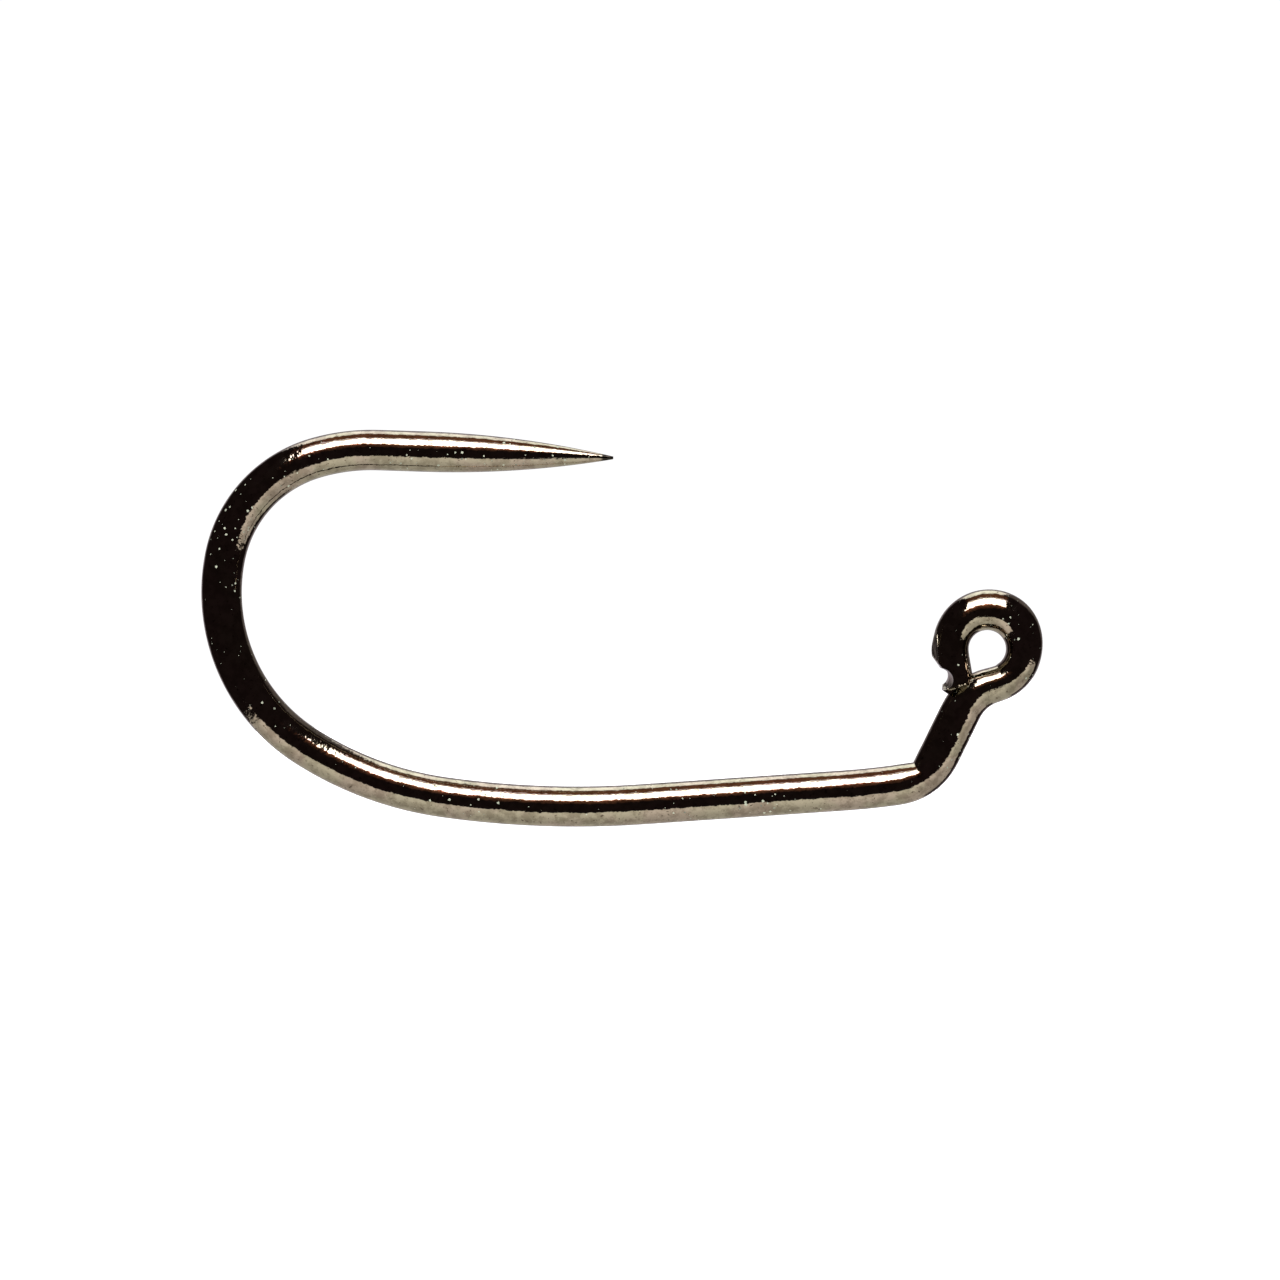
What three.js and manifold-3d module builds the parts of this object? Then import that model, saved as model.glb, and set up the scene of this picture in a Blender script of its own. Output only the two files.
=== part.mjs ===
// A bare barbless jig hook, bent from a single length of round wire. Millimetres.
//
// The wire lies in the XZ plane. The origin is the centre of the eye's hole, +X runs along the
// straight shank towards the eye, +Z points from the shank to the point, and the hook's two
// cheeks face -Y and +Y. The wire is followed from the cut end that closes the eye, clockwise
// round the eye, down the neck, back along the shank and round the bend to the point. Each part
// is one stretch of that wire, and meets the next face to face.

import * as THREE from 'three';
import { mergeVertices } from 'three/addons/utils/BufferGeometryUtils.js';
import Module from 'manifold-3d';

// Wire
const WIRE_DIAMETER = 0.75;
const EASE = 0.25; // length over which one run of the wire turns into the next

// Eye
const HOLE_DIAMETER = 0.69;
const EYE_WIRE = 0.66; // thickness of the wire in the hook's plane, pressed thinner round the eye
const EYE_RADIUS = (HOLE_DIAMETER + EYE_WIRE) / 2;
const EYE_END_ANGLE = -82; // where the eye's arc meets the neck, degrees from +X
const CROWN = 0.085; // extra thickness on the outside of the eye's upper front
const CROWN_ANGLE = 56; // degrees above +X
const CROWN_SPREAD = 80; // degrees below its angle before the crown has died out
const CROWN_TRAIL = 150; // degrees beyond its angle, towards the cut end
const RIDGE = 0.03; // more thickness next to the cut end, where the pliers pressed
const RIDGE_ANGLES = [163, 181]; // degrees above +X between which it rises
const HOLE_SHIFT = [-0.007, -0.018]; // of the hole from the ring's own centre, in x and z
const FLAT_DEPTH = 0.011; // flat pressed into the hole beside the neck
const FLAT_ANGLES = [61, 68]; // degrees below +X between which it deepens
const PRESS_FADE = 0.5; // length of neck over which these press marks die out

// Cut end. The side cutter sloped its outer corner, bit a round hollow below the slope, and
// pushed a lip out under the hollow, where the wire's own corner is gone. Places are x, z.
const SLOPE_TOP = [-1.04, -0.08];
const SLOPE_FOOT = [-0.903, -0.28];
const BITE_RADIUS = 0.195;
const BITE_CENTRE = [-0.964, -0.445];
const TRIM = -0.885; // below the hollow the end is cut off at this x
const LIP = [
  [-0.89, -0.6],
  [-0.895, -0.69],
  [-0.875, -0.74],
  [-0.765, -0.822],
  [-0.6, -0.62],
];
const LIP_DEPTH = 0.5;
const CLEAR = 1.2; // the cutter's tool reaches this far from the origin, past the wire

// Point
const TAPER_LENGTH = 3.5; // ground part of the point
const TIP_SHARE = 0.07; // width of the very tip, as a share of the wire's

// The wire as straight runs and arcs, in order. A positive sweep turns left, in degrees, seen
// with the point up and the eye to the right.
const RUNS = layOut([
  { part: 'eye', name: 'cut_end', length: 0.6 },
  { part: 'eye', name: 'ring', radius: EYE_RADIUS, sweep: -269 },
  { part: 'neck', name: 'throat', radius: 0.9, sweep: 52 },
  { part: 'neck', name: 'riser', length: 0.93 },
  { part: 'neck', name: 'jig_bend', radius: 1.0, sweep: -56 },
  { part: 'shank', name: 'lead_in', radius: 15, sweep: -4 },
  { part: 'shank', name: 'straight', length: 3.733 },
  { part: 'shank', name: 'belly', radius: 17.5, sweep: -12 },
  { part: 'bend', name: 'heel', radius: 6.4, sweep: -24.5 },
  { part: 'bend', name: 'lower_bend', radius: 3.38, sweep: -69 },
  { part: 'bend', name: 'upper_bend', radius: 2.38, sweep: -62 },
  { part: 'bend', name: 'run_out', radius: 3.7, sweep: -18.3 },
  { part: 'point', name: 'spear', length: 4.36 },
]);

// Facets
const SIDES = 20; // round the wire
const TURN_STEP = 6; // degrees of turn between two sections
const LONGEST_STEP = 0.8; // distance between two sections on a straight run
const POINT_SECTIONS = 12; // along the ground part of the point
const TRACE_STEP = 0.01; // distance between two points of the traced path
const EASE_SAMPLES = 10;

// Where the pressed wire of the eye turns back into round wire
const ROUNDING_START = -0.7; // from the start of the throat
const ROUNDING_END = 0.3; // from the start of the riser

const HALF_WIRE = WIRE_DIAMETER / 2;
const LENGTH = RUNS.at(-1).end;
const RING = runNamed('ring');
const THROAT = runNamed('throat');
const RISER = runNamed('riser');
const JIG_BEND = runNamed('jig_bend');

const wasm = await Module();
wasm.setup();

// Adds to each run its length, the distances at which it starts and ends, and the turn in
// degrees that the wire has made before it.
function layOut(runs) {
  let start = 0;
  let turned = 0;
  return runs.map((run) => {
    const sweep = run.sweep ?? 0;
    const length = run.length ?? run.radius * THREE.MathUtils.degToRad(Math.abs(sweep));
    const placed = { ...run, sweep, length, start, end: start + length, turned };
    start = placed.end;
    turned += sweep;
    return placed;
  });
}

function runNamed(name) {
  return RUNS.find((run) => run.name === name);
}

// Heading in degrees that the bare runs give. It fixes the ring's far end at EYE_END_ANGLE.
function plainHeading(distance) {
  const at = THREE.MathUtils.clamp(distance, 0, LENGTH);
  const run = RUNS.find((r) => at <= r.end) ?? RUNS.at(-1);
  const first = EYE_END_ANGLE - 90 - (RING.turned + RING.sweep);
  return first + run.turned + (run.sweep * (at - run.start)) / run.length;
}

// The same heading in radians, averaged over the easing length so that no bend starts abruptly.
function heading(distance) {
  let sum = 0;
  for (let i = 0; i <= EASE_SAMPLES; i++) {
    sum += plainHeading(distance + EASE * (i / EASE_SAMPLES - 0.5));
  }
  return THREE.MathUtils.degToRad(sum / (EASE_SAMPLES + 1));
}

// The place reached by following the wire from one distance to another. A Vector2 holds x and z.
function follow(place, from, to) {
  const steps = Math.max(1, Math.ceil(Math.abs(to - from) / TRACE_STEP));
  const step = (to - from) / steps;
  const reached = place.clone();
  for (let i = 0; i < steps; i++) {
    const turn = heading(from + (i + 0.5) * step);
    reached.x += Math.cos(turn) * step;
    reached.y += Math.sin(turn) * step;
  }
  return reached;
}

// Angle round the eye in degrees above +X, counted on past the ring's ends.
function eyeAngle(distance) {
  return EYE_END_ANGLE + THREE.MathUtils.radToDeg((RING.end - distance) / EYE_RADIUS);
}

// Thickening of the eye's outside, by the angle round the eye.
function crown(distance) {
  if (distance > RING.end) return 0;
  const angle = eyeAngle(distance);
  const spread = angle > CROWN_ANGLE ? CROWN_TRAIL : CROWN_SPREAD;
  const share = Math.min(1, Math.abs(angle - CROWN_ANGLE) / spread);
  const swell = CROWN * Math.cos((share * Math.PI) / 2) ** 2;
  return swell + RIDGE * THREE.MathUtils.smoothstep(angle, ...RIDGE_ANGLES);
}

// Thickening towards the hole, which isn't centred in the ring and has a flat pressed into it.
function press(distance) {
  const degrees = eyeAngle(distance);
  const angle = THREE.MathUtils.degToRad(degrees);
  const shift = -HOLE_SHIFT[0] * Math.cos(angle) - HOLE_SHIFT[1] * Math.sin(angle);
  const flat = FLAT_DEPTH * THREE.MathUtils.smoothstep(-degrees, ...FLAT_ANGLES);
  const gone = THREE.MathUtils.smoothstep(distance, RING.end, RING.end + PRESS_FADE);
  return (shift - flat) * (1 - gone);
}

// Depth of the crease in the jig bend: its inner side is a sharp corner, not an arc.
function crease(distance) {
  const fromEnd = Math.min(distance - JIG_BEND.start, JIG_BEND.end - distance);
  const inner = JIG_BEND.radius - HALF_WIRE;
  return fromEnd > 0 ? inner / Math.cos(fromEnd / JIG_BEND.radius) - inner : 0;
}

// Width of the wire as a share of its full width: a slim ogive at the point, and 1 elsewhere.
function taper(distance) {
  const ground = Math.min(1, (LENGTH - distance) / TAPER_LENGTH);
  return TIP_SHARE + (1 - TIP_SHARE) * (1 - (1 - ground) ** 2);
}

// Half widths of the wire: towards the hole or gape, away from it, and out of the hook's plane.
function section(distance) {
  const from = THROAT.start + ROUNDING_START;
  const round = THREE.MathUtils.smoothstep(distance, from, RISER.start + ROUNDING_END);
  const flat = THREE.MathUtils.lerp(EYE_WIRE / 2, HALF_WIRE, round) * taper(distance);
  return {
    inside: flat + press(distance) - crease(distance),
    outside: flat + crown(distance),
    side: HALF_WIRE * taper(distance),
  };
}

// Distances of one part's sections, closer together where the wire turns.
function sectionDistances(part) {
  const runs = RUNS.filter((run) => run.part === part);
  const distances = runs.flatMap((run) => {
    const least = Math.max(Math.abs(run.sweep) / TURN_STEP, run.length / LONGEST_STEP);
    const count = Math.ceil(least);
    return Array.from({ length: count }, (_, i) => run.start + (run.length * i) / count);
  });
  return [...distances, runs.at(-1).end];
}

// The point's sections, which crowd towards the tip.
function pointDistances() {
  const distances = [runNamed('spear').start];
  for (let i = 0; i <= POINT_SECTIONS; i++) {
    const left = (1 - i / POINT_SECTIONS) ** 1.5;
    distances.push(LENGTH - TAPER_LENGTH * left);
  }
  return distances;
}

// Corners of the section at one distance, as x, y, z triples in a flat list.
function sectionCorners(distance, place) {
  const turn = heading(distance);
  const { inside, outside, side } = section(distance);
  const corners = [];
  for (let k = 0; k < SIDES; k++) {
    const angle = (2 * Math.PI * k) / SIDES;
    const reach = Math.cos(angle);
    const across = reach * (reach > 0 ? inside : outside);
    corners.push(place.x + Math.sin(turn) * across);
    corners.push(side * Math.sin(angle));
    corners.push(place.y - Math.cos(turn) * across);
  }
  return corners;
}

// Closed geometry through the sections at these distances, capped at both ends.
function sweep(distances) {
  const positions = [];
  const centres = [];
  const faces = [];
  let at = RING.end - THREE.MathUtils.degToRad(90 - EYE_END_ANGLE) * EYE_RADIUS;
  let place = new THREE.Vector2(0, EYE_RADIUS);
  for (const distance of distances) {
    place = follow(place, at, distance);
    at = distance;
    positions.push(...sectionCorners(distance, place));
    centres.push(place);
  }
  const lastRow = (distances.length - 1) * SIDES;
  const firstCap = positions.push(centres[0].x, 0, centres[0].y) / 3 - 1;
  const lastCap = positions.push(place.x, 0, place.y) / 3 - 1;
  for (let k = 0; k < SIDES; k++) {
    const next = (k + 1) % SIDES;
    faces.push(firstCap, next, k);
    faces.push(lastCap, lastRow + k, lastRow + next);
    for (let row = 0; row < lastRow; row += SIDES) {
      faces.push(row + k, row + next, row + SIDES + k);
      faces.push(row + next, row + SIDES + next, row + SIDES + k);
    }
  }
  const geometry = new THREE.BufferGeometry();
  geometry.setAttribute('position', new THREE.Float32BufferAttribute(positions, 3));
  geometry.setIndex(faces);
  return geometry;
}

function toSolid(geometry) {
  const bare = geometry.clone();
  bare.deleteAttribute('normal');
  bare.deleteAttribute('uv');
  const merged = mergeVertices(bare);
  return new wasm.Manifold(
    new wasm.Mesh({
      numProp: 3,
      vertProperties: merged.attributes.position.array,
      triVerts: new Uint32Array(merged.index.array),
    }),
  );
}

function toGeometry(solid) {
  const mesh = solid.getMesh();
  const geometry = new THREE.BufferGeometry();
  geometry.setAttribute('position', new THREE.BufferAttribute(mesh.vertProperties, 3));
  geometry.setIndex(new THREE.BufferAttribute(mesh.triVerts, 1));
  return geometry;
}

// A solid of this outline in the XZ plane, centred on the hook's own plane.
function slab(outline, depth) {
  const shape = new THREE.Shape(outline.map(([x, z]) => new THREE.Vector2(x, z)));
  const settings = { depth, bevelEnabled: false };
  const geometry = new THREE.ExtrudeGeometry(shape, settings);
  geometry.translate(0, 0, -depth / 2);
  geometry.rotateX(Math.PI / 2);
  return toSolid(geometry);
}

// What the cutter took away: the sloped corner, the round hollow, and the corner below it.
function biteTool() {
  const [x, z] = BITE_CENTRE;
  const from = Math.atan2(SLOPE_FOOT[1] - z, SLOPE_FOOT[0] - x);
  const to = -Math.acos((TRIM - x) / BITE_RADIUS);
  const outline = [[-CLEAR, SLOPE_TOP[1]], SLOPE_TOP, SLOPE_FOOT];
  for (let i = 1; i <= SIDES; i++) {
    const angle = THREE.MathUtils.lerp(from, to, i / SIDES);
    outline.push([x + BITE_RADIUS * Math.cos(angle), z + BITE_RADIUS * Math.sin(angle)]);
  }
  outline.push([TRIM, -CLEAR], [-CLEAR, -CLEAR]);
  return slab(outline, 2 * WIRE_DIAMETER);
}

// The eye's cut end lies on the neck, so it is hollowed to the neck's round flank.
function eyeGeometry(neck) {
  const whole = toSolid(sweep(sectionDistances('eye'))).add(slab(LIP, LIP_DEPTH));
  return toGeometry(whole.subtract(biteTool()).subtract(toSolid(neck)));
}

function blackNickel() {
  return new THREE.MeshStandardMaterial({ color: 0x6b645a, metalness: 1, roughness: 0.12 });
}

function namedMesh(name, geometry) {
  const mesh = new THREE.Mesh(geometry, blackNickel());
  mesh.name = name;
  return mesh;
}

const neck = sweep(sectionDistances('neck'));
const hook = new THREE.Group();
hook.add(namedMesh('eye', eyeGeometry(neck)));
hook.add(namedMesh('neck', neck));
hook.add(namedMesh('shank', sweep(sectionDistances('shank'))));
hook.add(namedMesh('bend', sweep(sectionDistances('bend'))));
hook.add(namedMesh('point', sweep(pointDistances())));

export default hook;
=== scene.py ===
"""A bare barbless jig hook in black nickel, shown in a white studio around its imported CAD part.

The hook is one length of wire. It is swept here in fine sections along the same runs and arcs
as the CAD part, so that its mirror finish reflects smoothly, and stands for all five CAD
stretches. Meshes are made in millimetres, and hook_wire() turns the finished one into metres.
"""

import math
from collections import namedtuple

import bmesh
import bpy
import numpy as np
from mathutils import Matrix, Vector
from mathutils.bvhtree import BVHTree


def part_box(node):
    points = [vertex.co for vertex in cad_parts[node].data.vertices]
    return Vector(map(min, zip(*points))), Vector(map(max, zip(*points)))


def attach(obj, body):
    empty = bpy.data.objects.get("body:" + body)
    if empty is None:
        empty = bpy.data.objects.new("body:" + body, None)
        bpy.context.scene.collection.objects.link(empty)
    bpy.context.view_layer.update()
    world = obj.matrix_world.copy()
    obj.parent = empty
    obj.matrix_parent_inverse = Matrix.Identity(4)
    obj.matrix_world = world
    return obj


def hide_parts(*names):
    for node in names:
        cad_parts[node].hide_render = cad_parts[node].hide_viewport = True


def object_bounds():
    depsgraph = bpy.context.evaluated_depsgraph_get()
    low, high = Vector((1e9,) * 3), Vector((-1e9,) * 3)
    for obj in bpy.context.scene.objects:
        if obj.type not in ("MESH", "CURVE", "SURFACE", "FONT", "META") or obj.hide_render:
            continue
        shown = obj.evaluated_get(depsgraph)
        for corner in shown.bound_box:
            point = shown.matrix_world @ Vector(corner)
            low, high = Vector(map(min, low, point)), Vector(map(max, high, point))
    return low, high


MM = 0.001
FINISH = "black_nickel"

# Wire, as in the CAD part
EASE = 0.25  # length over which one run of the wire turns into the next
HOLE_DIAMETER = 0.69
EYE_WIRE = 0.66  # thickness in the hook's plane, pressed thinner round the eye
EYE_RADIUS = (HOLE_DIAMETER + EYE_WIRE) / 2
EYE_END_ANGLE = -82  # where the eye's arc meets the neck, degrees from +X
CROWN = 0.085  # extra thickness on the outside of the eye's upper front
CROWN_ANGLE = 56
CROWN_SPREAD = 80  # below its angle
CROWN_TRAIL = 150  # beyond its angle, towards the cut end
ROUNDING_START = -0.7  # pressed wire turns back to round: from the start of the throat
ROUNDING_END = 0.3  # to this far past the start of the riser
HOLE_SHIFT = (-0.007, -0.018)  # of the hole from the ring's own centre, in x and z
FLAT_DEPTH = 0.011  # flat pressed into the hole beside the neck
FLAT_ANGLES = (61, 68)  # degrees below +X between which it deepens
PRESS_FADE = 0.5  # length of neck over which these press marks die out
TAPER_LENGTH = 3.5  # ground part of the point
TIP_SHARE = 0.07

# Flat that the pliers left on the outside of the ring, and the ridge beside it. Angles are
# round the eye.
RIDGE = 0.03
RIDGE_ANGLES = (163, 181)  # between which the ridge rises
FLAT_START = 160.5
FLAT_HALF_DEPTH = 0.246  # half the flat's size from cheek to cheek

# Cut end: a sloped corner, a hollow that widens towards each cheek, and a lip. Places are x, z.
SLOPE_TOP = (-1.04, -0.08)
SLOPE_FOOT = (-0.903, -0.28)
BITE_RADIUS = 0.195
BITE_CENTRE = (-0.964, -0.445)
BITE_FLARE = (0.055, -0.1, 0.02)  # growth of the centre's x and z and the radius by the cheek
BITE_POINTS = 28
TRIM = -0.885  # below the hollow the end is cut off at this x
BITE_LEVELS = (-0.5, -0.375, -0.25, -0.12, 0, 0.12, 0.25, 0.375, 0.5)
CLEAR = 1.2
LIP = ((-0.89, -0.6), (-0.895, -0.69), (-0.875, -0.74), (-0.765, -0.822), (-0.6, -0.62))
LIP_LEVELS = ((-0.3, 0.9), (-0.27, 1), (0.27, 1), (0.3, 0.9))

# Burrs raised along the cut: lines of x, z laid on each cheek
BURRS = (
    (0.024, ((-0.835, -0.70), (-0.76, -0.712), (-0.676, -0.699), (-0.60, -0.672), (-0.5, -0.65))),
    (0.02, ((-0.5, -0.65), (-0.43, -0.63), (-0.365, -0.595), (-0.332, -0.565), (-0.31, -0.52))),
    (0.013, ((-0.921, 0.353), (-0.929, 0.2), (-0.934, 0.05), (-0.933, -0.1), (-0.928, -0.21))),
    (0.015, ((-0.425, -0.1), (-0.421, -0.16), (-0.415, -0.2))),
    (0.017, ((-0.41, -0.28), (-0.4, -0.36), (-0.38, -0.42), (-0.358, -0.484))),
)
BURR_SIDES = 10
BURR_STEP = 0.012
BURR_LEAST_ROWS = 4
BURR_RAGGED = 0.2  # share by which a burr's radius wanders
BURR_ENDS = (0.12, 0.96)  # stretch of a sine's half wave that a burr's radius follows
BURR_FULL = 0.7  # height of that sine above which the burr has its full radius
BURR_RAY_START = 2  # out from the hook's middle plane, well clear of the wire
BURR_SEED = 7

# Runs of the wire, from its cut end to its point
Run = namedtuple("Run", "name length radius sweep")
RUNS = [
    Run("cut_end", 0.6, None, 0),
    Run("ring", None, EYE_RADIUS, -269),
    Run("throat", None, 0.9, 52),
    Run("riser", 0.93, None, 0),
    Run("jig_bend", None, 1.0, -56),
    Run("lead_in", None, 15, -4),
    Run("straight", 3.733, None, 0),
    Run("belly", None, 17.5, -12),
    Run("heel", None, 6.4, -24.5),
    Run("lower_bend", None, 3.38, -69),
    Run("upper_bend", None, 2.38, -62),
    Run("run_out", None, 3.7, -18.3),
    Run("spear", 4.36, None, 0),
]

# Mesh
SIDES = 64  # round the wire
ROW_STEP = 0.05  # along the wire
TRACE_STEP = 0.005
EASE_SAMPLES = 11
TIP_ROWS = 24
SLIVER = 0.001  # edges shorter than this are dissolved
SAME_PLACE = 1e-5  # corners closer than this are one corner
MOST_SIDES = 4  # faces with more sides are split before slivers are looked for
SHARP_ANGLE = math.radians(38)

# Camera
LENS = 150.0
SENSOR = 36.0
VIEW_WIDTH = 23.7  # what the picture's width takes in at the hook
ROLL = math.radians(3.9)  # the shank rises this much towards the eye
FRAMING = Vector((0.3075, 0, -0.409)) * MM  # middle of the picture from the middle of the hook

# Studio
FLOOR_DROP = 10 * MM
FLOOR_SIZE = 2.0
FLOOR_WHITE = (0.92, 0.92, 0.92, 1)
FAR_CLIP = 10.0


def placed_runs():
    """Each run with the distances at which it starts and ends and the turn made before it."""
    placed = {}
    start, turned = 0.0, 0.0
    for run in RUNS:
        length = run.length or run.radius * math.radians(abs(run.sweep))
        placed[run.name] = {
            "start": start,
            "end": start + length,
            "radius": run.radius,
            "sweep": run.sweep,
            "turned": turned,
        }
        start += length
        turned += run.sweep
    return placed


PLACED = placed_runs()
RING, THROAT = PLACED["ring"], PLACED["throat"]
RISER, JIG_BEND = PLACED["riser"], PLACED["jig_bend"]
LENGTH = PLACED["spear"]["end"]


def smoothstep(value, low, high):
    """0 below low, 1 above high, and a smooth rise between."""
    share = np.clip((value - low) / (high - low), 0, 1)
    return share * share * (3 - 2 * share)


def heading(distance):
    """Heading of the wire in radians, averaged over the easing length."""
    edges = [run["start"] for run in PLACED.values()] + [LENGTH]
    turns = [run["turned"] for run in PLACED.values()]
    turns.append(turns[-1] + RUNS[-1].sweep)
    first = EYE_END_ANGLE - 90 - (RING["turned"] + RING["sweep"])
    offsets = np.linspace(-EASE / 2, EASE / 2, EASE_SAMPLES)
    plain = [np.interp(distance + offset, edges, turns) for offset in offsets]
    return np.radians(first + np.mean(plain, axis=0))


def centreline(distances):
    """The wire's middle at these distances, as x and z, with the eye's hole at the origin."""
    grid = np.arange(0, LENGTH + TRACE_STEP, TRACE_STEP)
    turn = heading(grid[:-1] + TRACE_STEP / 2)
    x = np.concatenate([[0], np.cumsum(np.cos(turn)) * TRACE_STEP])
    z = np.concatenate([[0], np.cumsum(np.sin(turn)) * TRACE_STEP])
    top = RING["end"] - math.radians(90 - EYE_END_ANGLE) * EYE_RADIUS
    x -= np.interp(top, grid, x)
    z -= np.interp(top, grid, z) - EYE_RADIUS
    return np.interp(distances, grid, x), np.interp(distances, grid, z)


def eye_angle(distance):
    """Angle round the eye in degrees from +X, counted on past the ring's end."""
    return EYE_END_ANGLE + np.degrees((RING["end"] - distance) / EYE_RADIUS)


def crown(distance):
    """Thickening of the eye's outside, by the angle round the eye."""
    angle = eye_angle(distance)
    spread = np.where(angle > CROWN_ANGLE, CROWN_TRAIL, CROWN_SPREAD)
    share = np.minimum(1, np.abs(angle - CROWN_ANGLE) / spread)
    swell = CROWN * np.cos(share * math.pi / 2) ** 2
    return np.where(distance > RING["end"], 0, swell + RIDGE * smoothstep(angle, *RIDGE_ANGLES))


def press(distance):
    """Thickening towards the hole, which isn't centred in the ring and has a flat in it."""
    degrees = eye_angle(distance)
    angle = np.radians(degrees)
    shift = -HOLE_SHIFT[0] * np.cos(angle) - HOLE_SHIFT[1] * np.sin(angle)
    flat = FLAT_DEPTH * smoothstep(-degrees, *FLAT_ANGLES)
    gone = smoothstep(distance, RING["end"], RING["end"] + PRESS_FADE)
    return (shift - flat) * (1 - gone)


def crease(distance, half_wire):
    """Depth of the crease in the jig bend: its inner side is a sharp corner, not an arc."""
    from_end = np.minimum(distance - JIG_BEND["start"], JIG_BEND["end"] - distance)
    inner = JIG_BEND["radius"] - half_wire
    return inner / np.cos(np.maximum(from_end, 0) / JIG_BEND["radius"]) - inner


def taper(distance):
    """Width of the wire as a share of its full width: a slim ogive at the point."""
    ground = np.minimum(1, (LENGTH - distance) / TAPER_LENGTH)
    return TIP_SHARE + (1 - TIP_SHARE) * (1 - (1 - ground) ** 2)


def row_distances(first, last):
    """Distances of the sections from one distance to another, with one at the crease."""
    stops = [first, last]
    stops += [r[k] for r in PLACED.values() for k in ("start", "end") if first < r[k] < last]
    middle = (JIG_BEND["start"] + JIG_BEND["end"]) / 2
    if first < middle < last:
        stops.append(middle)
    stops = sorted(set(stops))
    rows = []
    for low, high in zip(stops, stops[1:]):
        count = max(1, math.ceil((high - low) / ROW_STEP))
        rows.extend(np.linspace(low, high, count, endpoint=False))
    return np.array(rows + [last])


def tip_distances(first):
    """Distances along the ground point, closer together towards the tip."""
    left = (1 - np.arange(TIP_ROWS + 1) / TIP_ROWS) ** 2
    return LENGTH - (LENGTH - first) * left


def section_rows(distances, half_wire):
    """Corners of each section, as an array of rows, sides and x, y, z."""
    x, z = centreline(distances)
    turn = heading(distances)
    roundness = smoothstep(
        distances, THROAT["start"] + ROUNDING_START, RISER["start"] + ROUNDING_END
    )
    narrow = taper(distances)
    flat = (EYE_WIRE / 2 + (half_wire - EYE_WIRE / 2) * roundness) * narrow
    inside = flat + press(distances) - crease(distances, half_wire)
    outside = flat + crown(distances)
    angle = np.arange(SIDES) * 2 * math.pi / SIDES
    reach = np.cos(angle)[None, :]
    across = reach * np.where(reach > 0, inside[:, None], outside[:, None])
    side = (half_wire * narrow)[:, None] * np.sin(angle)[None, :]
    pressed = (reach < 0) & (np.abs(side) < FLAT_HALF_DEPTH)
    pressed &= (eye_angle(distances) > FLAT_START)[:, None]
    edge = (outside * math.sqrt(1 - (FLAT_HALF_DEPTH / half_wire) ** 2))[:, None]
    flat_side = edge + (outside[:, None] - edge) * (1 - np.abs(side) / FLAT_HALF_DEPTH)
    across = np.where(pressed, -flat_side, across)
    corners = np.empty((len(distances), SIDES, 3))
    corners[..., 0] = x[:, None] + np.sin(turn)[:, None] * across
    corners[..., 1] = side
    corners[..., 2] = z[:, None] - np.cos(turn)[:, None] * across
    return corners


def tube(rows):
    """Vertices and faces of a closed tube through these sections."""
    count, sides = rows.shape[:2]
    vertices = rows.reshape(-1, 3).tolist()
    vertices.append(rows[0].mean(axis=0).tolist())
    vertices.append(rows[-1].mean(axis=0).tolist())
    first_cap, last_cap = count * sides, count * sides + 1
    last_row = (count - 1) * sides
    faces = []
    for k in range(sides):
        step = (k + 1) % sides
        faces.append((first_cap, step, k))
        faces.append((last_cap, last_row + k, last_row + step))
        for row in range(0, last_row, sides):
            faces.append((row + k, row + step, row + sides + step, row + sides + k))
    return vertices, faces


def bite_rows():
    """Sections of the cutter's tool, from one cheek to the other."""
    rows = []
    for level in BITE_LEVELS:
        share = abs(level) / BITE_LEVELS[-2]
        x = BITE_CENTRE[0] + BITE_FLARE[0] * share
        z = BITE_CENTRE[1] + BITE_FLARE[1] * share
        radius = BITE_RADIUS + BITE_FLARE[2] * share
        first = math.atan2(SLOPE_FOOT[1] - z, SLOPE_FOOT[0] - x)
        outline = [(-CLEAR, SLOPE_TOP[1]), SLOPE_TOP, SLOPE_FOOT]
        last = -math.acos((TRIM - x) / radius)
        for angle in np.linspace(first, last, BITE_POINTS)[1:]:
            outline.append((x + radius * math.cos(angle), z + radius * math.sin(angle)))
        outline += [(TRIM, -CLEAR), (-CLEAR, -CLEAR)]
        rows.append([(x, level, z) for x, z in outline])
    return np.array(rows)


def lip_rows():
    """Sections of the lip that the cutter pushed out, thinner towards each cheek."""
    outline = np.array(LIP)
    middle = outline[-1]
    rows = []
    for level, share in LIP_LEVELS:
        row = [(x, level, z) for x, z in middle + (outline - middle) * share]
        rows.append(row)
    return np.array(rows)


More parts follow.
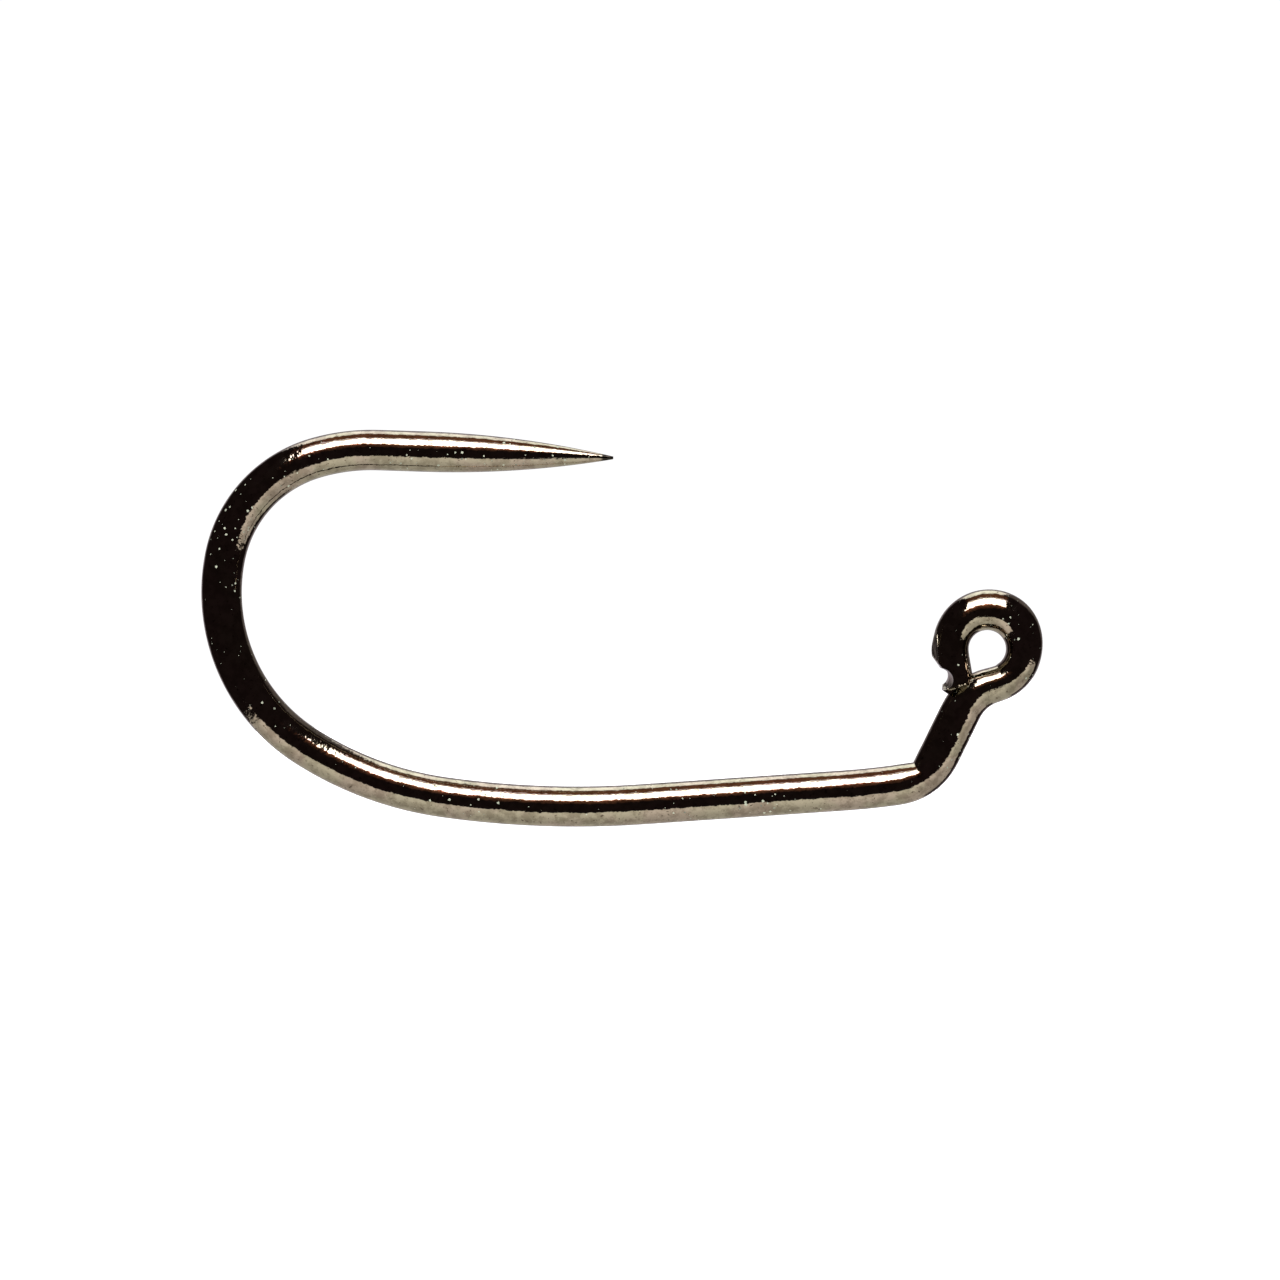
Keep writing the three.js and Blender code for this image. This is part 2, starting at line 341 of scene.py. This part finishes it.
def burr_rows(line, radius, cheek, surface, chance):
    """Sections of a fine ragged bead along a line laid on one cheek of the wire."""
    line = np.array(line)
    along = np.concatenate([[0], np.cumsum(np.hypot(*np.diff(line, axis=0).T))])
    count = max(BURR_LEAST_ROWS, math.ceil(along[-1] / BURR_STEP))
    stops = np.linspace(0, along[-1], count)
    x, z = (np.interp(stops, along, line[:, i]) for i in (0, 1))
    wide = radius * (1 + BURR_RAGGED * chance.uniform(-1, 1, count))
    swell = np.sin(np.linspace(*BURR_ENDS, count) * math.pi)
    wide *= np.clip(swell, 0, BURR_FULL) / BURR_FULL
    angle = np.arange(BURR_SIDES) * 2 * math.pi / BURR_SIDES
    ahead = np.gradient(x), np.gradient(z)
    length = np.hypot(*ahead)
    rows = []
    for i in range(count):
        outside = Vector((x[i], BURR_RAY_START * cheek, z[i]))
        y = surface.ray_cast(outside, Vector((0, -cheek, 0)))[0].y
        turn_x, turn_z = -ahead[1][i] / length[i], ahead[0][i] / length[i]
        row = [
            (
                x[i] + wide[i] * math.cos(a) * turn_x,
                y + wide[i] * math.sin(a),
                z[i] + wide[i] * math.cos(a) * turn_z,
            )
            for a in angle
        ]
        rows.append(row)
    return np.array(rows)


def burrs(thing):
    """All the burrs as one object of closed beads, half sunk in the wire's surface."""
    surface = BVHTree.FromObject(thing, bpy.context.evaluated_depsgraph_get())
    chance = np.random.default_rng(BURR_SEED)
    vertices, faces = [], []
    for radius, line in BURRS:
        for cheek in (-1, 1):
            points, rings = tube(burr_rows(line, radius, cheek, surface, chance))
            faces += [tuple(i + len(vertices) for i in ring) for ring in rings]
            vertices += points
    return mesh_object("burrs", vertices, faces)


def mesh_object(name, vertices, faces):
    """A new object of this closed mesh, with its faces turned out."""
    mesh = bpy.data.meshes.new(name)
    mesh.from_pydata(vertices, [], faces)
    mesh.update()
    thing = bpy.data.objects.new(name, mesh)
    bpy.context.scene.collection.objects.link(thing)
    outward(mesh)
    return thing


def outward(mesh):
    """Turns every face of a closed mesh to face out."""
    work = bmesh.new()
    work.from_mesh(mesh)
    bmesh.ops.recalc_face_normals(work, faces=work.faces)
    work.to_mesh(mesh)
    work.free()


def drop_leftovers(mesh):
    """Clears what joining leaves: slivers, and flaps with an open edge inside the wire."""
    work = bmesh.new()
    work.from_mesh(mesh)
    many_sided = [face for face in work.faces if len(face.verts) > MOST_SIDES]
    bmesh.ops.triangulate(work, faces=many_sided)
    bmesh.ops.dissolve_degenerate(work, dist=SLIVER, edges=work.edges)
    bmesh.ops.remove_doubles(work, verts=work.verts, dist=SAME_PLACE)
    while flaps := [face for face in work.faces if any(edge.is_boundary for edge in face.edges)]:
        bmesh.ops.delete(work, geom=flaps, context="FACES")
    work.to_mesh(mesh)
    work.free()


def combine(target, tool, operation):
    """Joins or cuts target with tool, and removes tool."""
    step = target.modifiers.new("combine", "BOOLEAN")
    step.operation = operation
    step.solver = "MANIFOLD"
    step.object = tool
    graph = bpy.context.evaluated_depsgraph_get()
    made = bpy.data.meshes.new_from_object(target.evaluated_get(graph))
    old = target.data
    target.modifiers.clear()
    target.data = made
    bpy.data.meshes.remove(old)
    bpy.data.objects.remove(tool)


def hook_wire(half_wire):
    """The whole hook as one mesh: the closing end of the eye joined on to the rest."""
    split = (RING["start"] + RING["end"]) / 2
    ground = LENGTH - TAPER_LENGTH
    closing = row_distances(0, split)
    rest = np.concatenate([row_distances(split, ground)[1:-1], tip_distances(ground)])
    rows = section_rows(np.concatenate([closing, rest]), half_wire)
    join = len(closing) - 1  # the section that both parts share, corner for corner
    hook = mesh_object("hook_wire", *tube(rows[join:]))
    end = mesh_object("closing_end", *tube(rows[: join + 1]))
    combine(end, mesh_object("lip", *tube(lip_rows())), "UNION")
    combine(end, mesh_object("bite", *tube(bite_rows())), "DIFFERENCE")
    combine(hook, end, "UNION")
    combine(hook, burrs(hook), "UNION")
    drop_leftovers(hook.data)
    hook.data.transform(Matrix.Scale(MM, 4))
    return hook


def shade(thing):
    """Smooth shading, with creases kept sharp."""
    mesh = thing.data
    mesh.shade_smooth()
    mesh.set_sharp_from_angle(angle=SHARP_ANGLE)


# Node trees


def node(tree, kind, **inputs):
    """A new node whose inputs, named in words or by number, are values or other outputs."""
    made = tree.nodes.new(kind)
    for key, value in inputs.items():
        socket = made.inputs[int(key[1:])] if key[1:].isdigit() else made.inputs[key]
        if isinstance(value, bpy.types.NodeSocket):
            tree.links.new(value, socket)
        else:
            socket.default_value = value
    return made


def maths(tree, operation, a, b=0.0):
    """One arithmetic step on two numbers or outputs."""
    made = node(tree, "ShaderNodeMath", _0=a, _1=b)
    made.operation = operation
    return made.outputs[0]


def remap(tree, value, low, high, to_low=0.0, to_high=1.0):
    """value taken smoothly from one range to another, and held outside it."""
    made = node(
        tree,
        "ShaderNodeMapRange",
        Value=value,
        _1=low,
        _2=high,
        _3=to_low,
        _4=to_high,
    )
    made.interpolation_type = "SMOOTHSTEP"
    return made.outputs[0]


def mixed(tree, share, a, b, blend="MIX"):
    """Colour b laid over colour a by this share."""
    made = tree.nodes.new("ShaderNodeMix")
    made.data_type = "RGBA"
    made.blend_type = blend
    for socket, value in ((0, share), (6, a), (7, b)):
        if isinstance(value, bpy.types.NodeSocket):
            tree.links.new(value, made.inputs[socket])
        else:
            made.inputs[socket].default_value = value
    return made.outputs[2]


# Panels of light seen from the hook. The middle of each stands at this angle from the camera,
# over the top, and faces the hook. Its extents are in distances from the hook: x to the right,
# and y on round from the camera.
Panel = namedtuple("Panel", "angle x y soft colour falloff", defaults=(0,))
FLOOR_GLOW = (1.2, 1.17, 1.1)
PANELS = [
    Panel(-90, (-1.3, 0.6), (-2.2, 1.42), 0.08, FLOOR_GLOW, 0.38),  # floor, left
    Panel(-90, (0.5, 2.9), (-0.8, 2.1), 0.12, FLOOR_GLOW, 0.38),  # floor, right
    Panel(150, (0.3, 1.1), (-0.8, 0.7), 0.3, (0.2, 0.18, 0.18)),  # dim wall behind, right
    Panel(120, (-0.4, 0.34), (-0.29, 0.42), 0.05, (1.1, 1.1, 1.15)),  # rear softbox, far side
    Panel(120, (-0.38, 0.32), (-0.32, 0.22), 0.05, (2.35, 2.45, 2.45)),  # rear softbox, near side
    Panel(80, (-0.3, 0.3), (-1.9, 0.4), 0.25, (0.11, 0.05, 0.033)),  # faint warm glow
    Panel(80, (-0.39, 0.4), (-1.38, 0.4), 0.12, (0.26, 0.11, 0.062)),  # warm glow
    Panel(80, (-0.43, 0.45), (-0.3, -0.1), 0.03, (1.5, 1.35, 1.5)),  # main softbox, far side
    Panel(80, (-0.43, 0.45), (-1.08, -0.92), 0.04, (1.5, 0.5, 0.34)),  # its red fringe
    Panel(80, (-0.42, 0.44), (-0.97, -0.25), 0.03, (8.0, 8.0, 8.2)),  # main softbox
]
FALLOFF = (-1.7, -0.4)  # a panel dims between these distances from its last edge
LEAST_FACING = 1e-3  # a panel edge-on to this degree isn't seen
BLACK = (0, 0, 0, 1)
WHITE = (1, 1, 1, 1)
DARK = (0.017, 0.011, 0.012, 1)
RIM = (0.42, 0.38, 0.42, 1)  # seen by the wire's outer rims, far behind the hook
RIM_RANGE = (0.66, 0.92)  # how nearly straight behind it starts and is full
BACKDROP = (1.05, 1.05, 1.05, 1)
SOFT_LIGHT = (1.25, 1.25, 1.25, 1)


def dot(tree, vector, axis):
    """How far a direction runs along an axis."""
    made = node(tree, "ShaderNodeVectorMath", _0=vector, _1=axis)
    made.operation = "DOT_PRODUCT"
    return made.outputs["Value"]


def panel_light(tree, panel, toward):
    """Where a panel is seen, and its colour there."""
    angle = math.radians(panel.angle)
    depth = camera_axis(0, -math.cos(angle), math.sin(angle))
    onward = camera_axis(0, math.sin(angle), math.cos(angle))
    facing = dot(tree, toward, depth)
    mask = maths(tree, "GREATER_THAN", facing, LEAST_FACING)
    reach = maths(tree, "MAXIMUM", facing, LEAST_FACING)
    sides = ((camera_axis(1, 0, 0), panel.x), (onward, panel.y))
    for axis, (low, high) in sides:
        value = maths(tree, "DIVIDE", dot(tree, toward, axis), reach)
        rise = remap(tree, value, low - panel.soft, low + panel.soft)
        fall = remap(tree, value, high - panel.soft, high + panel.soft, 1, 0)
        mask = maths(tree, "MULTIPLY", mask, maths(tree, "MULTIPLY", rise, fall))
    near, far = (high + edge for edge in FALLOFF)
    level = remap(tree, value, near, far, 1 - panel.falloff, 1)
    colour = mixed(tree, level, BLACK, (*panel.colour, 1))
    return mask, colour


def camera_axis(right, away, up):
    """A direction given from the rolled camera, in the hook's own frame."""
    cosine, sine = math.cos(ROLL), math.sin(ROLL)
    return (right * cosine + up * sine, away, up * cosine - right * sine)


def studio_world():
    """White backdrop and soft light, and panels that only the mirror finish sees."""
    world = bpy.data.worlds.new("studio")
    world.use_nodes = True
    tree = world.node_tree
    tree.nodes.clear()
    toward = node(tree, "ShaderNodeTexCoord").outputs["Generated"]
    behind = remap(tree, dot(tree, toward, (0, 1, 0)), *RIM_RANGE)
    seen = mixed(tree, behind, DARK, RIM)
    for panel in PANELS:
        mask, colour = panel_light(tree, panel, toward)
        seen = mixed(tree, mask, seen, colour)
    studio = node(tree, "ShaderNodeBackground", Color=seen).outputs[0]
    soft = node(tree, "ShaderNodeBackground", Color=SOFT_LIGHT).outputs[0]
    backdrop = node(tree, "ShaderNodeBackground", Color=BACKDROP).outputs[0]
    ray = node(tree, "ShaderNodeLightPath").outputs
    lit = node(tree, "ShaderNodeMixShader", _0=ray["Is Diffuse Ray"], _1=studio, _2=soft)
    shown = node(
        tree, "ShaderNodeMixShader", _0=ray["Is Camera Ray"], _1=lit.outputs[0], _2=backdrop
    )
    node(tree, "ShaderNodeOutputWorld", Surface=shown.outputs[0])
    bpy.context.scene.world = world


# Finish. Scales are in waves, or cells of dust, to the millimetre. Each range is of the noise's
# value, over which one look turns into the other.
PER_MM = 1 / MM
NICKEL = (0.373, 0.334, 0.247, 1)
NICKEL_ROSY = (0.388, 0.322, 0.256, 1)
WORN = (0.68, 0.66, 0.64, 1)  # what worn plating keeps of its colour
PIT = (0.13, 0.1, 0.07, 1)
# painted shade: near-black colour for the point's last stretch, standing in for the highlight
# that its ground facets miss
TIP_PAINTED_SHADE = (0.03, 0.025, 0.02, 1)
TIP_SHADE_SPAN = (0.19, 0.27)  # from the tip, where the painted shade on the point fades out
DUST_DIM = (0.1, 0.11, 0.08, 1)
DUST_BRIGHT = (0.38, 0.4, 0.3, 1)
TONE_SCALE, TONE_RANGE = 1.3, (0.42, 0.58)
WEAR_SCALE, WEAR_RANGE = 5, (0.38, 0.6)
PIT_SCALE, PIT_RANGE = 14, (0.32, 0.37)
POLISH_SCALE, POLISH_RANGE = 6, (0.3, 0.7)
ROUGHNESS = (0.04, 0.08)
WAVE_SCALE = 6  # the plating's slight waviness
WAVE_DEPTH = 0.0075
DUST_SCALE = 9.0
PATCH_SCALE, PATCH_RANGE = 0.9, (0.4, 0.6)
PATCH_SIZES = (0.03, 0.17)  # a speck's size in thin and thick patches, in cells
DUST_LEAST = 0.45  # share of that size which even the smallest speck has
DUST_MARGIN = 0.09  # makes up for what the ragged edge takes off
RAGGED_SCALE, RAGGED_DEPTH = 45, 0.22
DUST_ROUGHNESS = 0.8


def noise(tree, where, scale, detail, roughness=0.5):
    """Soft noise about 0.5, with this many waves to the millimetre."""
    made = node(
        tree,
        "ShaderNodeTexNoise",
        Vector=where,
        Scale=scale * PER_MM,
        Detail=detail,
        Roughness=roughness,
    )
    return made.outputs["Fac"]


def dust(tree, where):
    """Specks a few hundredths of a millimetre across, thicker in some places than others.

    Gives where they are and their colour, which is brighter for some specks than for others.
    """
    cells = node(
        tree, "ShaderNodeTexVoronoi", Vector=where, Scale=DUST_SCALE * PER_MM, Randomness=1.0
    )
    chance = node(tree, "ShaderNodeSeparateColor", Color=cells.outputs["Color"]).outputs
    patch = remap(tree, noise(tree, where, PATCH_SCALE, 2), *PATCH_RANGE, *PATCH_SIZES)
    size = maths(tree, "MULTIPLY", patch, maths(tree, "ADD", chance[0], DUST_LEAST))
    ragged = maths(tree, "MULTIPLY", noise(tree, where, RAGGED_SCALE, 1), RAGGED_DEPTH)
    reach = maths(tree, "ADD", cells.outputs["Distance"], ragged)
    specks = maths(tree, "LESS_THAN", reach, maths(tree, "ADD", size, DUST_MARGIN))
    return specks, mixed(tree, chance[1], DUST_DIM, DUST_BRIGHT)


def tip_painted_shade(tree, where):
    """Painted shade on the last stretch of the point: darkens it nearly to black, in place of the
    highlight that its ground facets miss.
    """
    x, z = centreline([LENGTH])
    tip = Vector((x[0], 0, z[0])) * MM
    away = node(tree, "ShaderNodeVectorMath", _0=where, _1=tip)
    away.operation = "DISTANCE"
    near, far = (edge * MM for edge in TIP_SHADE_SPAN)
    return remap(tree, away.outputs["Value"], near, far, 1, 0)


def black_nickel():
    """Mirror plating with uneven tone, wear, small pits, painted shade on the tip and dust on it.
    """
    material = bpy.data.materials.new(FINISH)
    material.use_nodes = True
    tree = material.node_tree
    tree.nodes.clear()
    where = node(tree, "ShaderNodeTexCoord").outputs["Object"]
    tone = remap(tree, noise(tree, where, TONE_SCALE, 2), *TONE_RANGE)
    colour = mixed(tree, tone, NICKEL, NICKEL_ROSY)
    sound = remap(tree, noise(tree, where, WEAR_SCALE, 5, 0.65), *WEAR_RANGE)
    colour = mixed(tree, 1.0, colour, mixed(tree, sound, WORN, WHITE), "MULTIPLY")
    pitted = remap(tree, noise(tree, where, PIT_SCALE, 3, 0.6), *PIT_RANGE, 1, 0)
    colour = mixed(tree, pitted, colour, PIT)
    # painted shade darkens the point's last stretch nearly to black
    colour = mixed(tree, tip_painted_shade(tree, where), colour, TIP_PAINTED_SHADE)
    specks, speck_colour = dust(tree, where)
    colour = mixed(tree, specks, colour, speck_colour)
    metal = maths(tree, "SUBTRACT", 1.0, specks)
    roughness = remap(tree, noise(tree, where, POLISH_SCALE, 3), *POLISH_RANGE, *ROUGHNESS)
    dulled = maths(tree, "MULTIPLY", specks, DUST_ROUGHNESS)
    roughness = maths(tree, "ADD", roughness, dulled)
    waves = noise(tree, where, WAVE_SCALE, 2, 0.55)
    bump = node(tree, "ShaderNodeBump", Strength=1.0, Distance=WAVE_DEPTH * MM, Height=waves)
    surface = node(
        tree,
        "ShaderNodeBsdfPrincipled",
        **{"Base Color": colour, "Metallic": metal, "Roughness": roughness},
        Normal=bump.outputs[0],
    )
    node(tree, "ShaderNodeOutputMaterial", Surface=surface.outputs[0])
    return material


def floor(height):
    """White floor under the hook, which its mirror finish doesn't see."""
    half = FLOOR_SIZE / 2
    outline = [(-half, -half), (half, -half), (half, half), (-half, half)]
    mesh = bpy.data.meshes.new("floor")
    mesh.from_pydata([(x, y, height) for x, y in outline], [], [(0, 1, 2, 3)])
    thing = bpy.data.objects.new("floor", mesh)
    bpy.context.scene.collection.objects.link(thing)
    thing.visible_glossy = False
    material = bpy.data.materials.new("floor_white")
    material.use_nodes = True
    shader = material.node_tree.nodes["Principled BSDF"]
    shader.inputs["Base Color"].default_value = FLOOR_WHITE
    shader.inputs["Roughness"].default_value = 1.0
    shader.inputs["Specular IOR Level"].default_value = 0.0
    mesh.materials.append(material)


def camera(middle):
    """A long lens square on to the hook, looking at the middle of the picture."""
    data = bpy.data.cameras.new("camera")
    data.lens = LENS
    data.sensor_width = SENSOR
    distance = VIEW_WIDTH * MM * LENS / SENSOR
    data.clip_start = distance / 10
    data.clip_end = FAR_CLIP
    thing = bpy.data.objects.new("camera", data)
    upright = Matrix.Rotation(math.radians(90), 4, "X")
    rolled = Matrix.Rotation(ROLL, 4, "Y")
    place = Matrix.Translation(middle + Vector((0, -distance, 0)))
    thing.matrix_world = place @ rolled @ upright
    bpy.context.scene.collection.objects.link(thing)
    bpy.context.scene.camera = thing


def corners(box):
    """A box's two corners as plain lists."""
    return [list(corner) for corner in box]


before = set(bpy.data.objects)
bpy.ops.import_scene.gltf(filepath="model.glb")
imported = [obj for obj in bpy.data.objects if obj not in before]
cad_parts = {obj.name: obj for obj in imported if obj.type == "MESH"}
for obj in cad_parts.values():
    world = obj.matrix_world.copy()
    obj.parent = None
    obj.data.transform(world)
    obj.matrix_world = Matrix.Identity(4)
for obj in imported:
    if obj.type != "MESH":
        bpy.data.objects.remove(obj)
cad_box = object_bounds()
wire_low, wire_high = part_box("shank")
hook = hook_wire((wire_high.y - wire_low.y) / 2 / MM)
shade(hook)
hook.data.materials.clear()
hook.data.materials.append(black_nickel())
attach(hook, "root")
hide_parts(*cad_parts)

floor(cad_box[0].z - FLOOR_DROP)
studio_world()
camera((cad_box[0] + cad_box[1]) / 2 + FRAMING)
bpy.context.scene.view_settings.view_transform = "Standard"
